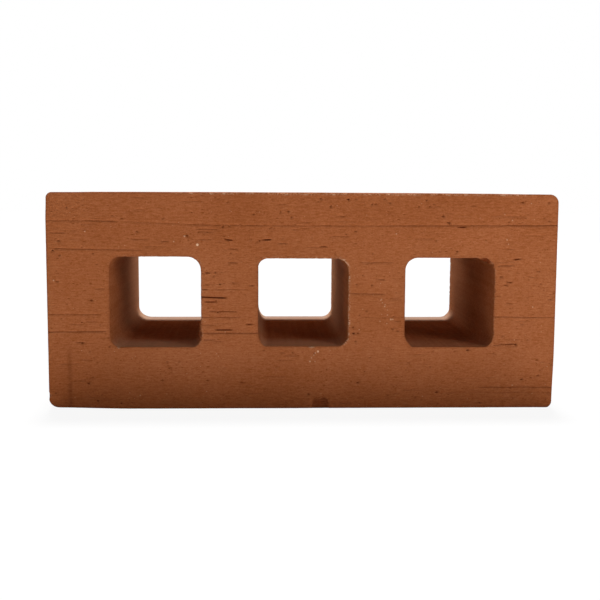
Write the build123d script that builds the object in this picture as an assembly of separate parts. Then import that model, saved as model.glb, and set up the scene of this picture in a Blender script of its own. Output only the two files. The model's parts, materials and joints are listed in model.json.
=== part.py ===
"""Terracotta breeze block with three square holes, one piece of extruded and wire-cut clay.

Millimetres, +Z up. The block lies on a long side, as it is laid in a screen wall:
X runs along its length, Y is the way that the clay left the die and the holes go
through, and the origin is the middle of the underside.
"""

from build123d import *

import os

# Outside of the block
LENGTH = 230.0  # along X
DEPTH = 110.0  # along Y, from one wire cut to the other
HEIGHT = 98.0  # along Z
CORNER_RADIUS = 4.0  # the four long corners, rounded by the mouth of the die

# Holes, made by the cores of the die
HOLE_COUNT = 3
HOLE_WIDTH = 41.0
HOLE_HEIGHT = 41.0
HOLE_CORNER_RADIUS = 6.0
WEB = 25.5  # clay between two holes

# Edges of the two cut faces, softened in handling and firing
OUTER_EDGE_RADIUS = 0.8
HOLE_EDGE_RADIUS = 0.6

HOLE_PITCH = HOLE_WIDTH + WEB
MIDDLE_HEIGHT = HEIGHT / 2


def die_section():
    """The section that the die gives the clay: a rounded rectangle with the row of holes."""
    with BuildSketch(Plane.XZ) as section:
        with Locations((0, MIDDLE_HEIGHT)):
            RectangleRounded(LENGTH, HEIGHT, CORNER_RADIUS)
            with GridLocations(HOLE_PITCH, HEIGHT, HOLE_COUNT, 1):
                RectangleRounded(
                    HOLE_WIDTH, HOLE_HEIGHT, HOLE_CORNER_RADIUS, mode=Mode.SUBTRACT
                )
    return section.sketch


def breeze_block():
    """The section drawn out to the depth of the block, with the edges of both cuts softened."""
    with BuildPart() as block:
        extrude(die_section(), amount=DEPTH / 2, both=True)
        cut_faces = block.faces().filter_by(Axis.Y)
        outer_edges = [edge for face in cut_faces for edge in face.outer_wire().edges()]
        hole_edges = [
            edge
            for face in cut_faces
            for hole in face.inner_wires()
            for edge in hole.edges()
        ]
        fillet(outer_edges, OUTER_EDGE_RADIUS)
        fillet(hole_edges, HOLE_EDGE_RADIUS)
    return block.part


os.makedirs("parts", exist_ok=True)
export_step(breeze_block(), "parts/block.step")
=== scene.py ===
# %% [markdown]
# This lesson dresses a terracotta breeze block: a bar of clay with three square holes.
# The real block leaves a die as one long ribbon, is cut to depth by a taut wire, dried and fired.
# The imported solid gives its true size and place, so the first step is to load it and to keep its box.

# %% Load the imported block
import json
import math
from collections import namedtuple

import bpy
import numpy as np
from mathutils import Matrix, Vector, geometry, kdtree, noise


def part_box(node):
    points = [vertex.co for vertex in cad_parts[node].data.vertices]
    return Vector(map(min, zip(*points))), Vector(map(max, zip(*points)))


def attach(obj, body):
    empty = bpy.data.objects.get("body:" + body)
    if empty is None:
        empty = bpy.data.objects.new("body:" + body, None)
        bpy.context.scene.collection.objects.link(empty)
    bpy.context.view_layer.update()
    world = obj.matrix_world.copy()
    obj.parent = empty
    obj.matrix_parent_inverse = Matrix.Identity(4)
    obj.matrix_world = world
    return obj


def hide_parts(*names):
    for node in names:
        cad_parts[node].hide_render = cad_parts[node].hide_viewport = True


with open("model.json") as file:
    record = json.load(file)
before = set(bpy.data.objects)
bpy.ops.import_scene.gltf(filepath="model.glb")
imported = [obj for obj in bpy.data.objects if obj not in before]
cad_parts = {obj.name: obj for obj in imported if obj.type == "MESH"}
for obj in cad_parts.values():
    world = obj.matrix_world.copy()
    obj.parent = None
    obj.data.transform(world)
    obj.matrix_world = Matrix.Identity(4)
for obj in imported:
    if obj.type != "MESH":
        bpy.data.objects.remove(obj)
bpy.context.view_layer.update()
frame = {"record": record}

MM = 0.001
low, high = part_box("block")
length, depth, height = (high - low) / MM
half_length = length / 2
middle_height = height / 2
print("block in mm:", round(length, 2), round(depth, 2), round(height, 2))

# %% [markdown]
# The wire drags grit across both cuts. That leaves long level scratches and short dark tears.
# Paint could show them, but they have to catch the light from every side, so they are cut into the mesh.
# Each one of the front is put where this block shows it, in millimetres from the middle of the underside.
# A long scratch is a few short straight ones end to end, because the wire wanders.
# One that runs off the face ends a little beyond its side.

# %% Scratches on the front
Scratch = namedtuple("Scratch", "left left_height right right_height depth")

FRONT_SCRATCHES = [
    Scratch(-117, 85.3, -96, 85.2, 0.11), Scratch(-96, 85.2, -84.5, 85.0, 0.22),
    Scratch(-84.5, 85.0, -66, 84.4, 0.06), Scratch(-66, 84.4, -49, 83.6, 0.10),
    Scratch(-49, 83.6, -10, 83.2, 0.14), Scratch(-10, 83.2, 38, 83.4, 0.15),
    Scratch(38, 83.4, 117, 83.8, 0.23), Scratch(-111.5, 72.8, -93, 72.5, 0.17),
    Scratch(-93, 72.5, -73, 72.2, 0.16), Scratch(-113.5, 79.8, -106.3, 79.8, 0.16),
    Scratch(-117, 43.4, -91, 43.2, 0.15), Scratch(-117, 35.3, -88.5, 35.5, 0.27),
    Scratch(-101.9, 30.5, -98.7, 30.5, 0.26), Scratch(-90, 32.7, -87.4, 32.6, 0.11),
    Scratch(-71.8, 73.8, -61.5, 73.8, 0.07), Scratch(-63.9, 76.2, -61.2, 76.2, 0.24),
    Scratch(-48.5, 81.7, -38.5, 81.5, 0.16), Scratch(-48, 80.5, -41, 80.4, 0.12),
    Scratch(-35.2, 77.0, -32.4, 76.7, 0.66), Scratch(-18.0, 76.9, -15.2, 77.0, 0.72),
    Scratch(0.3, 73.7, 7.1, 73.7, 0.08), Scratch(7.0, 73.9, 10.3, 73.9, 0.31),
    Scratch(-11.5, 75.4, -7.5, 75.5, 0.18), Scratch(-5.7, 81.5, -3.7, 81.5, 0.18),
    Scratch(14.5, 87.5, 18.1, 87.5, 0.16), Scratch(-34, 72.8, -30, 72.8, 0.28),
    Scratch(-34, 66.6, -30, 66.6, 0.26), Scratch(-44.5, 62.0, -42.2, 62.0, 0.36),
    Scratch(-44.2, 56.7, -43.0, 56.6, 0.30), Scratch(-24.0, 56.3, -22.6, 56.3, 0.34),
    Scratch(-48, 54.7, -42.9, 54.6, 0.24), Scratch(-41, 54.6, -25.7, 54.6, 0.13),
    Scratch(-48, 51.2, -41, 50.9, 0.64), Scratch(-41, 50.9, -35.5, 50.7, 0.76),
    Scratch(-44.5, 48.9, -39.7, 48.9, 0.38), Scratch(-42.5, 44.8, -31, 44.5, 0.27),
    Scratch(-48, 41.9, -28.8, 41.9, 0.18), Scratch(-26.1, 38.7, -23.4, 38.7, 0.42),
    Scratch(-48, 38.5, -39.8, 38.4, 0.18), Scratch(-39.8, 36.2, -32.7, 36.2, 0.42),
    Scratch(-48, 34.7, -19, 34.7, 0.30), Scratch(-48, 31.6, -39.8, 31.6, 0.29),
    Scratch(-40.6, 30.9, -37.0, 30.9, 0.14), Scratch(-10.7, 25.6, -8.5, 25.6, 0.26),
    Scratch(-9.4, 24.3, -3.5, 24.2, 0.16), Scratch(-28.9, 11.9, -27.1, 11.9, 0.34),
    Scratch(-13.4, 19.2, -11.2, 19.2, 0.16), Scratch(18.5, 52.8, 36.5, 52.5, 0.21),
    Scratch(25.5, 42.0, 47.5, 41.8, 0.08), Scratch(25.3, 66.8, 39.6, 66.9, 0.15),
    Scratch(33.0, 59.1, 36.6, 59.1, 0.26), Scratch(69.8, 82.8, 72.8, 82.8, 0.56),
    Scratch(87.5, 51.5, 89.5, 51.5, 0.28), Scratch(48, 24.6, 55, 24.8, 0.12),
    Scratch(75.0, 92.4, 76.8, 92.4, 0.20), Scratch(95.2, 68.3, 98.2, 68.5, 0.40),
    Scratch(85.5, 65.4, 95.0, 65.5, 0.29), Scratch(88.5, 60.6, 90.4, 60.6, 0.28),
    Scratch(92.7, 57.9, 94.6, 57.9, 0.36), Scratch(90.9, 56.6, 92.8, 56.6, 0.34),
    Scratch(92.5, 48.3, 94.8, 48.3, 0.18), Scratch(112.0, 50.1, 113.4, 50.1, 0.26),
    Scratch(85.5, 42.2, 101, 42.0, 0.24), Scratch(101, 42.0, 117, 41.9, 0.17),
    Scratch(85.5, 28.9, 92.5, 29.3, 0.29), Scratch(92.0, 29.3, 96.2, 29.6, 0.33),
    Scratch(92.8, 31.4, 98.0, 31.6, 0.14), Scratch(62, 6.9, 117, 7.0, 0.10),
    Scratch(81, 9.4, 117, 9.6, 0.27),
]
print("scratches chosen for the front:", len(FRONT_SCRATCHES))

# %% [markdown]
# Where the wire pulled a crumb of sand out, it left a pit that is wider than it is high.
# Where a grain of lime lies in the clay it stands out, and it is pale: the bigger, the paler.

# %% Pits and grains on the front
Pit = namedtuple("Pit", "across up half_length depth")
Grain = namedtuple("Grain", "across up size")

FRONT_PITS = [
    Pit(-20.0, 76.5, 0.6, 0.5), Pit(-52.6, 78.7, 1.4, 0.42), Pit(-36.4, 82.6, 0.8, 0.45),
    Pit(-33.5, 82.9, 0.6, 0.3), Pit(-22.7, 88.3, 0.7, 0.35), Pit(-34.1, 93.6, 0.8, 0.25),
    Pit(-7.1, 89.7, 0.8, 0.4), Pit(-10.6, 89.5, 0.6, 0.3), Pit(-63.0, 86.2, 1.0, 0.2),
    Pit(-74.5, 80.5, 0.8, 0.3), Pit(-109.4, 76.2, 0.7, 0.3), Pit(7.3, 95.3, 0.8, 0.35),
    Pit(12.1, 91.9, 0.8, 0.22), Pit(36.1, 95.4, 0.8, 0.35), Pit(98.5, 94.0, 0.9, 0.45),
    Pit(110.5, 94.0, 0.8, 0.35), Pit(110.8, 85.6, 0.8, 0.3), Pit(69.2, 71.9, 0.8, 0.4),
    Pit(89.6, 60.3, 1.0, 0.35), Pit(96.9, 29.3, 1.0, 0.8), Pit(99.8, 38.6, 1.2, 0.2),
    Pit(100.2, 13.1, 1.0, 0.5), Pit(107.8, 15.0, 1.0, 0.4), Pit(24.7, 11.7, 0.8, 0.9),
    Pit(61.0, 7.2, 1.0, 0.6), Pit(59.0, 26.3, 0.9, 0.2), Pit(48.0, 21.0, 1.0, 0.2),
    Pit(40.5, 36.5, 0.7, 0.4), Pit(23.8, 56.8, 0.7, 0.3), Pit(-95.2, 14.7, 0.9, 0.3),
    Pit(-93.1, 3.7, 0.8, 0.6), Pit(-91.1, 6.5, 0.7, 0.3), Pit(-60.8, 18.7, 0.7, 0.4),
    Pit(-61.7, 21.7, 0.8, 0.3), Pit(-56.3, 21.5, 0.9, 0.3), Pit(62.4, 87.7, 1.0, 0.45),
    Pit(65.2, 84.8, 1.1, 0.5), Pit(75, 26.7, 0.9, 1.1), Pit(-112, 71.9, 0.6, 0.7),
    Pit(-109.0, 69.7, 0.9, 0.35), Pit(-95.3, 49.5, 0.9, 0.5), Pit(-110.2, 58.1, 1.0, 0.3),
    Pit(-99.6, 39.7, 0.6, 0.4), Pit(2.3, 6.6, 0.7, 1.1), Pit(81, 2.2, 0.8, 1.0),
    Pit(19.6, 95.1, 0.9, 0.8), Pit(32, 93.0, 1.0, 0.25), Pit(106.7, 63, 1.2, 0.25),
    Pit(-97.1, 11.8, 0.8, 0.6), Pit(-64.1, 13.1, 1.0, 0.35), Pit(-99.6, 30.2, 0.7, 0.8),
    Pit(-43.6, 13.0, 0.8, 0.25), Pit(22.4, 37.4, 0.6, 0.5), Pit(22.6, 34.6, 0.9, 1.0),
    Pit(24.6, 34.6, 0.6, 0.4), Pit(23.6, 30.9, 0.7, 0.4), Pit(-39.8, 62.0, 0.5, 0.40),
    Pit(-37.8, 56.9, 0.5, 0.60), Pit(-38.8, 44.2, 0.5, 0.50),
]
FRONT_GRAINS = [
    Grain(-47.8, 74.6, 0.78), Grain(-53.5, 78.4, 0.56), Grain(-58.3, 76.0, 0.44),
    Grain(-97.6, 80.4, 0.46), Grain(-111.8, 58.5, 0.48), Grain(41.5, 79.8, 0.46),
    Grain(94, 86, 0.44), Grain(104.4, 46.7, 0.46), Grain(6.5, 26.3, 0.66),
    Grain(5.3, 25.6, 0.48), Grain(2.9, 21.7, 0.52), Grain(34.8, 49.8, 0.42),
    Grain(35.2, 50.1, 0.44), Grain(35.6, 48.6, 0.40), Grain(36.6, 46.9, 0.46),
    Grain(38, 43.0, 0.44), Grain(39.5, 41, 0.54), Grain(40.4, 41.0, 0.48),
    Grain(37.7, 39.1, 0.42), Grain(36.8, 47.8, 0.40), Grain(37.9, 45.3, 0.38),
    Grain(34.6, 40.1, 0.42), Grain(25.2, 36.3, 0.42), Grain(102.4, 93.6, 0.42),
    Grain(90.5, 88.7, 0.38), Grain(91.8, 77.2, 0.46), Grain(92.5, 75.2, 0.42),
    Grain(96.4, 31.5, 0.40), Grain(4.6, 24.6, 0.42), Grain(3.6, 23.4, 0.44),
    Grain(5.2, 21.7, 0.40), Grain(96.0, 10.5, 0.42),
]
print("pits and grains chosen for the front:", len(FRONT_PITS), len(FRONT_GRAINS))

# %% [markdown]
# The back was never seen, so its marks are made up, and so are the smallest ones of the front.
# A generator of random numbers scatters them. Its seed is fixed, so the block comes out the same each time.
# A few long scratches of the back are chosen, because the wire leaves some on every block.

# %% Scattered marks
FRONT_SEED = 11
BACK_SEED = 23
RIM = 2.0  # scattered marks keep this far from the outside
# The least and the most that each kind of mark has, in mm.
SCRATCH_LENGTHS = (2.0, 10.0)
SCRATCH_DEPTHS = (0.04, 0.15)
PIT_LENGTHS = (0.35, 0.8)
PIT_DEPTHS = (0.08, 0.34)
GRAIN_SIZES = (0.30, 0.40)


def scattered_marks(seed, scratch_count, pit_count, grain_count):
    """Small marks thrown over a whole cut face. The ones that land in a hole fall away later."""
    rng = np.random.default_rng(seed)

    def spot():
        return rng.uniform(-half_length + RIM, half_length - RIM), rng.uniform(RIM, height - RIM)

    scratches = []
    for _ in range(scratch_count):
        left, level = spot()
        right = left + rng.uniform(*SCRATCH_LENGTHS)
        scratches.append(Scratch(left, level, right, level, rng.uniform(*SCRATCH_DEPTHS)))
    pits = [Pit(*spot(), rng.uniform(*PIT_LENGTHS), rng.uniform(*PIT_DEPTHS)) for _ in range(pit_count)]
    grains = [Grain(*spot(), rng.uniform(*GRAIN_SIZES)) for _ in range(grain_count)]
    return scratches, pits, grains


BACK_SCRATCHES = [
    Scratch(-117, 70.5, 117, 71.6, 0.28), Scratch(-117, 20.2, -20, 19.6, 0.26),
    Scratch(-24, 88.2, 62, 88.6, 0.24), Scratch(19, 37, 48, 37.2, 0.30),
    Scratch(85.5, 52.3, 112, 52, 0.34), Scratch(-117, 46, -90, 46.3, 0.36),
]
front_extra = scattered_marks(FRONT_SEED, scratch_count=100, pit_count=150, grain_count=12)
back_extra = scattered_marks(BACK_SEED, scratch_count=120, pit_count=180, grain_count=26)
front_chosen = (FRONT_SCRATCHES, FRONT_PITS, FRONT_GRAINS)
back_chosen = (BACK_SCRATCHES, [], [])
front_marks = [chosen + extra for chosen, extra in zip(front_chosen, front_extra)]
back_marks = [chosen + extra for chosen, extra in zip(back_chosen, back_extra)]
print("marks on the front:", [len(kind) for kind in front_marks])

# %% [markdown]
# Some wear is not a mark of the wire. The foot of the front has a bite with torn furrows in it,
# and a dark band runs up from the foot near the left end.
# The bite is cut into the mesh, as the scratches are. The band is only darker, so it is only coloured.

# %% Bites and bands
Bite = namedtuple("Bite", "across up half_length half_height depth")
Band = namedtuple("Band", "across bottom top half_width strength")

FRONT_BITES = [Bite(7.7, 0.4, 3.8, 4.4, 0.4)]
FRONT_BANDS = [Band(-105.4, -6.0, 33.0, 1.6, 0.34)]
print("bites and bands:", len(FRONT_BITES), len(FRONT_BANDS))

# %% [markdown]
# The ribbon of clay has one section all along: a rounded rectangle with three holes.
# Each edge line of that section is a rail here, and every rail is swept from the front cut to the back cut.
# A box with bevelled edges would be quicker, but a rail can be worn point by point, as the clay is:
# beside its points it keeps the way into the clay, and an edge is worn by moving along it.
# The die leaves round corners, each a little different, which still show at the back. At the front
# the wire has pulled some corners of the holes nearly straight, so each hole has a second outline there.

# %% Corners of the section
Corner = namedtuple("Corner", "across up flat")  # flat goes from 0, round, to 1, cut straight
Sides = namedtuple("Sides", "left right bottom top")  # how far each side has moved in, in mm

# Corners go anticlockwise from the lower right one, as seen from the front.
# Each has its side across, its side up, and the angle at which its arc begins.
CORNER_SIGNS = ((1, -1, -90), (1, 1, 0), (-1, 1, 90), (-1, -1, 180))
OUTER_CORNERS = (Corner(3.0, 3.2, 0), Corner(4, 4, 0), Corner(2.9, 2.7, 0), Corner(4.6, 4.6, 0))
DIE_CORNER = Corner(5.6, 5.6, 0)
DIE_LOW_RIGHT = Corner(5.6, 5.4, 0)
DIE_CORNERS = {
    "left_hole": (DIE_LOW_RIGHT, DIE_CORNER, DIE_CORNER, Corner(7.2, 5.8, 0)),
    "middle_hole": (DIE_LOW_RIGHT, DIE_CORNER, Corner(5.2, 5.0, 0), Corner(4.2, 6.4, 0.1)),
    "right_hole": (DIE_LOW_RIGHT, DIE_CORNER, DIE_CORNER, Corner(5.8, 5.6, 0)),
}
FRONT_CORNERS = {
    "left_hole": (Corner(3.2, 5.8, 0.1), Corner(6.2, 6.2, 0), Corner(4.8, 4.8, 0), Corner(4.4, 5.0, 0)),
    "middle_hole": (Corner(4.0, 4.0, 0.5), DIE_CORNER, Corner(4.1, 3.1, 0.3), Corner(3.0, 5.0, 0.5)),
    "right_hole": (Corner(3.2, 5.2, 0.3), Corner(3.8, 5.8, 0.4), DIE_CORNER, Corner(3.6, 5.4, 0.45)),
}
HOLE_SIDES = {
    "left_hole": Sides(-0.1, 0.4, 0, 0.35),
    "middle_hole": Sides(-0.15, 0.5, 0.25, 1.05),
    "right_hole": Sides(-0.05, 0.1, -0.1, 0.6),
}
NO_PULL = Sides(0, 0, 0, 0)
FRONT_PULL = {"right_hole": Sides(0, 0.42, 0, 0)}  # how much further in the wire has pulled the front
ARC_STEPS = 10  # steps of the arc of a corner


def smooth_step(value):
    """Eases from 0 to 1 as the value goes from 0 to 1."""
    value = np.clip(value, 0, 1)
    return value * value * (3 - 2 * value)


def corner_arc(tip, signs, corner):
    """Points round a corner whose sharp tip is given, and the way out of the shape at each."""
    side_x, side_z, first_angle = signs
    middle = np.array(tip) - (side_x * corner.across, side_z * corner.up)
    angles = np.radians(first_angle + 90 * np.arange(ARC_STEPS + 1) / ARC_STEPS)
    away = np.stack([np.cos(angles), np.sin(angles)], axis=1)
    arc = middle + away * (corner.across, corner.up)
    straight = arc[0] + (arc[-1] - arc[0]) * np.linspace(0, 1, ARC_STEPS + 1)[:, None]
    return arc + (straight - arc) * corner.flat, away


def outline(low_tip, high_tip, corners, side_shares):
    """Points round a rectangle with worn corners, anticlockwise, and the way out of it at each.

    The shares say where the points of each side go, from 0 at its start to 1 at its end.
    """
    tips = [(high_tip[0], low_tip[1]), high_tip, (low_tip[0], high_tip[1]), low_tip]
    arcs = [corner_arc(tip, signs, corner) for tip, signs, corner in zip(tips, CORNER_SIGNS, corners)]
    points = []
    away = []
    for (arc, arc_away), (next_arc, _), shares in zip(arcs, arcs[1:] + arcs[:1], side_shares):
        points.extend(arc)
        away.extend(arc_away)
        run = next_arc[0] - arc[-1]
        points.extend(arc[-1] + run * share for share in shares)
        away.extend([arc_away[-1]] * len(shares))
    return np.array(points), np.array(away)


# %% [markdown]
# Where a scratch runs out over an upright edge, its groove goes right through that edge.
# The rail then needs points exactly on the bottom and the sides of the groove,
# so the heights at which scratches cross an upright side are worked out before the rails are made.

# %% Where scratches cross an outline
Groove = namedtuple("Groove", "floor side")  # half widths of the flat bottom and of the whole groove

HAIRLINE = Groove(0.06, 0.19)
TEAR = Groove(0.17, 0.36)
LIP_TOP = 0.52  # the lip of clay that the grit pushes up below a tear
LIP_END = 0.74
TEAR_FROM = 0.30  # a scratch this deep is a tear
CROSSING_SLACK = 0.6  # a scratch that ends this close to a side still counts as crossing it


def scratch_tracks(scratch):
    """Heights of the lines of points along a scratch, from its middle. A tear has a lip below it."""
    if scratch.depth > TEAR_FROM:
        return [TEAR.side, TEAR.floor, -TEAR.floor, -TEAR.side, -LIP_TOP, -LIP_END]
    return [HAIRLINE.side, HAIRLINE.floor, -HAIRLINE.floor, -HAIRLINE.side]


def scratch_level(scratch, across):
    """Height of the middle of a scratch at places across the block."""
    return np.interp(across, [scratch.left, scratch.right], [scratch.left_height, scratch.right_height])


def crossing_heights(across):
    """Heights of all tracks of the listed scratches that cross an upright side."""
    heights = []
    for scratch in FRONT_SCRATCHES + BACK_SCRATCHES:
        if scratch.left - CROSSING_SLACK < across < scratch.right + CROSSING_SLACK:
            heights += [scratch_level(scratch, across) + track for track in scratch_tracks(scratch)]
    return np.array(heights)


# %% [markdown]
# The front of the outside is worn on three sides: the foot has lifted towards its left end,
# the right side is rubbed back near the foot, and the left side near the top.
# Only the outline at the front cut moves. The one at the back stays as the die left it.
# Wear grows from its start over its length, and a negative length runs to the left or down.

# %% Worn sides
WornSide = namedtuple("WornSide", "way_out depth start length")

FOOT_WEAR = WornSide((0, -1), 0.75, -75.0, -40.0)
RIGHT_WEAR = WornSide((1, 0), 0.45, 26.0, -22.0)
LEFT_WEAR = WornSide((-1, 0), 0.30, 86.0, 8.0)


def worn_outline(points, away):
    """The outline of the outside at the front cut, from the one that the die gave it."""
    front = points.copy()
    for worn in (FOOT_WEAR, RIGHT_WEAR, LEFT_WEAR):
        way_out = np.array(worn.way_out)
        along = points[:, 0] if worn.way_out[0] == 0 else points[:, 1]
        share = np.clip(away @ way_out, 0, 1) * smooth_step((along - worn.start) / worn.length)
        front -= worn.depth * share[:, None] * way_out
    return front


# %% [markdown]
# A rail is a closed ring of points. They are evenly spaced, except on an upright side,
# where the points of a crossing scratch take the place of the even ones that lie too near.
# Both outlines of a hole share the points out in the same way, so the sweep between them has no twist.

# %% The rails
Rail = namedtuple("Rail", "name points front into ragged")

OUTER_STEP = 0.9  # mm between two points of the outside
HOLE_STEP = 0.75  # and of a hole
HOLE_SIZE = 41.0  # of the die, because the frame has only a smaller box inside each hole
RAGGED_TOP = 0.45  # how ragged the top of a hole is, against its right side
CLEAR_OF_TRACK = 0.25  # an even point nearer than this to a scratch's track is left out


def even_shares(side_length, point_step):
    """Evenly spaced shares of a side."""
    steps = round(side_length / point_step)
    return np.arange(1, steps) / steps


def upright_shares(across, start, stop, point_step):
    """Shares of an upright side: evenly spaced, and one on each track of a scratch that crosses it."""
    crossing = (crossing_heights(across) - start) / (stop - start)
    crossing = crossing[(crossing > 0) & (crossing < 1)]
    even = even_shares(abs(stop - start), point_step)
    clear = CLEAR_OF_TRACK / abs(stop - start)
    free = [bool(np.all(np.abs(crossing - share) > clear)) for share in even]
    return np.unique(np.concatenate([even[free], crossing]))


def shares_of_sides(low_tip, high_tip, corners, point_step):
    """Where the points of the right, top, left and bottom side of an outline go."""
    low_right, high_right, high_left, low_left = corners
    level = even_shares(high_tip[0] - low_tip[0], point_step)
    right = upright_shares(high_tip[0], low_tip[1] + low_right.up, high_tip[1] - high_right.up, point_step)
    left = upright_shares(low_tip[0], high_tip[1] - high_left.up, low_tip[1] + low_left.up, point_step)
    return right, level, left, level


def outer_rail():
    """The rail round the outside. Its top is ragged."""
    tips = (-half_length, 0), (half_length, height)
    points, away = outline(*tips, OUTER_CORNERS, shares_of_sides(*tips, OUTER_CORNERS, OUTER_STEP))
    return Rail("outside", points, worn_outline(points, away), -away, np.clip(away[:, 1], 0, 1))


def hole_rail(name, centre, sides):
    """The rail round one hole, with the outline that the die gave it and the one at the front cut."""
    low_tip = (centre - HOLE_SIZE / 2 + sides.left, middle_height - HOLE_SIZE / 2 + sides.bottom)
    high_tip = (centre + HOLE_SIZE / 2 - sides.right, middle_height + HOLE_SIZE / 2 - sides.top)
    pull = FRONT_PULL.get(name, NO_PULL)
    front_low = (low_tip[0] + pull.left, low_tip[1] + pull.bottom)
    front_high = (high_tip[0] - pull.right, high_tip[1] - pull.top)
    front_tips = front_low, front_high
    shares = shares_of_sides(*front_tips, FRONT_CORNERS[name], HOLE_STEP)
    points, away = outline(low_tip, high_tip, DIE_CORNERS[name], shares)
    front, _ = outline(*front_tips, FRONT_CORNERS[name], shares)
    # The wire tears the clay where it leaves it, most of all at the right side of each hole.
    ragged = np.clip(away[:, 0], 0, 1) + RAGGED_TOP * np.clip(away[:, 1], 0, 1)
    return Rail(name, points, front, away, ragged)


rails = [outer_rail()]
hole_centres = {}
for opening in frame["record"]["physics"]["openings"]:
    name = opening["name"]
    hole_centres[name] = sum(corner[0] for corner in opening["box_m"]) / 2 / MM
    rails.append(hole_rail(name, hole_centres[name], HOLE_SIDES[name]))
print("points on the rails:", {rail.name: len(rail.points) for rail in rails})

# %% [markdown]
# Every mark has to be in the mesh, and a scratch is only a third of a millimetre wide.
# An even grid that fine would be far too heavy, so the cut face gets its points where they are needed:
# tracks of points along each scratch, two rings round each pit and grain,
# and a plain staggered grid of about a millimetre everywhere else.

# %% Points of the marks
TRACK_STEP = 0.8  # mm between two points of a track
PIT_HALF_HEIGHT = 0.31
RING_SHARES = (0.5, 1.0)
RING_POINTS = 7
BITE_STEP_ACROSS = 0.5
BITE_STEP_UP = 0.32  # about three rows of points to a furrow


def scratch_points(scratch):
    """Tracks of points along the bottom of a scratch, its two sides and its lip."""
    count = max(3, round((scratch.right - scratch.left) / TRACK_STEP) + 1)
    across = np.linspace(scratch.left, scratch.right, count)
    level = scratch_level(scratch, across)
    return np.concatenate([np.stack([across, level + track], axis=1) for track in scratch_tracks(scratch)])


def ring_points(across, up, half_width, half_height):
    """The middle of a small mark and two rings round it."""
    angles = 2 * math.pi * np.arange(RING_POINTS) / RING_POINTS
    ring = np.stack([half_width * np.cos(angles), half_height * np.sin(angles)], axis=1)
    return np.concatenate([[(across, up)]] + [(across, up) + ring * share for share in RING_SHARES])


def bite_points(bite):
    """A fine grid over a bite, for its furrows."""
    across = np.arange(-bite.half_length, bite.half_length, BITE_STEP_ACROSS) + bite.across
    up = np.arange(-bite.half_height, bite.half_height, BITE_STEP_UP) + bite.up
    return np.stack(np.meshgrid(across, up), axis=-1).reshape(-1, 2)


# %% [markdown]
# Triangles come out well shaped when no two points lie very close together. So the points of the marks
# are thinned out, the grid stays clear of them, and all of them stay clear of the rings beside the edges.
# A tree sorts points by place, so that the nearest one is found without a look at all the others.

# %% Distances on a cut face
CLOSEST = 0.10  # points of marks that share a square of this size become one
EDGE_BAND = 1.5  # width of the rings of faces beside each edge
CLEAR_OF_RINGS = 0.25


def point_tree(points):
    """A tree of points in which the nearest one is found fast."""
    tree = kdtree.KDTree(len(points))
    for number, point in enumerate(points):
        tree.insert((*point, 0), number)
    tree.balance()
    return tree


def distance_to(tree, point):
    """Distance in mm from a point to the nearest one of a tree."""
    return tree.find((*point, 0))[2]


rail_tree = point_tree([point for rail in rails for line in (rail.points, rail.front) for point in line])


def is_well_inside(point):
    """Whether a point lies in the clay and clear of the rings beside every edge."""
    x, z = point
    if distance_to(rail_tree, point) < EDGE_BAND + CLEAR_OF_RINGS:
        return False
    in_block = abs(x) < half_length and 0 < z < height
    beside_row = abs(z - middle_height) > HOLE_SIZE / 2
    between_holes = all(abs(x - centre) > HOLE_SIZE / 2 for centre in hole_centres.values())
    return in_block and (beside_row or between_holes)


def thin_out(points, spacing):
    """Drops a point that shares a small square with an earlier one, so that no sliver faces come."""
    cells = np.floor(points / spacing).astype(int)
    _, first = np.unique(cells, axis=0, return_index=True)
    return points[np.sort(first)]


# %% Points of a whole cut face
GRID_ACROSS = 1.05
GRID_UP = 0.84
CLEAR_OF_MARKS = 0.56  # a grid point any nearer would join across a scratch and cut its line in two


def cut_face_points(marks, bites):
    """The points inside a cut face: those of the marks first, then the grid between them."""
    scratches, pits, grains = marks
    near = [scratch_points(scratch) for scratch in scratches]
    near += [ring_points(pit.across, pit.up, pit.half_length, PIT_HALF_HEIGHT) for pit in pits]
    near += [ring_points(grain.across, grain.up, grain.size, grain.size) for grain in grains]
    near += [bite_points(bite) for bite in bites]
    near = thin_out(np.concatenate(near), CLOSEST)
    rows = np.arange(0, height, GRID_UP)
    columns = np.arange(-half_length, half_length, GRID_ACROSS)
    grid_x, grid_z = np.meshgrid(columns, rows)
    grid_x = grid_x + (np.arange(len(rows)) % 2)[:, None] * GRID_ACROSS / 2
    grid = np.stack([grid_x.ravel(), grid_z.ravel()], axis=1)
    mark_tree = point_tree(near)
    free = [distance_to(mark_tree, point) > CLEAR_OF_MARKS for point in grid]
    inside = np.concatenate([near, grid[free]])
    return inside[[is_well_inside(point) for point in inside]]


front_inside = cut_face_points(front_marks, FRONT_BITES)
back_inside = cut_face_points(back_marks, [])
print("points inside the cut faces:", len(front_inside), len(back_inside))

# %% [markdown]
# Relief is worked out as a depth into the clay at every point of a cut face.
# Broad unevenness and fine streaks come from noise that is stretched along the wire's travel.
# Each noise after the first adds a small number of its own to the seed, so that no two are alike.
# A scratch is a flat-bottomed groove, a pit is a short deep one, and a grain stands out.
# The same sums also say how dark the clay is, partly the dark clay of a tear and partly painted shade in the
# hollows, and where it is pale, and the material reads both later as colour.

# %% Shapes that the relief is built from
Unevenness = namedtuple("Unevenness", "across up height")  # size of its swellings in mm, and their height


def uneven(points, kind, seed):
    """Smooth noise that rises and falls by about the height of its kind, one value a point."""
    return kind.height * np.array([
        noise.noise(Vector((x / kind.across, z / kind.up, seed))) for x, z in points
    ])


def groove(distance, shape):
    """1 on the flat bottom of a scratch, falling to 0 where its side ends."""
    return np.clip((shape.side - np.abs(distance)) / (shape.side - shape.floor), 0, 1)


def lip(distance):
    """1 on top of a tear's lip and 0 on both sides of it."""
    rising = (-distance - TEAR.side) / (LIP_TOP - TEAR.side)
    falling = (distance + LIP_END) / (LIP_END - LIP_TOP)
    return np.clip(np.minimum(rising, falling), 0, 1)


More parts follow.
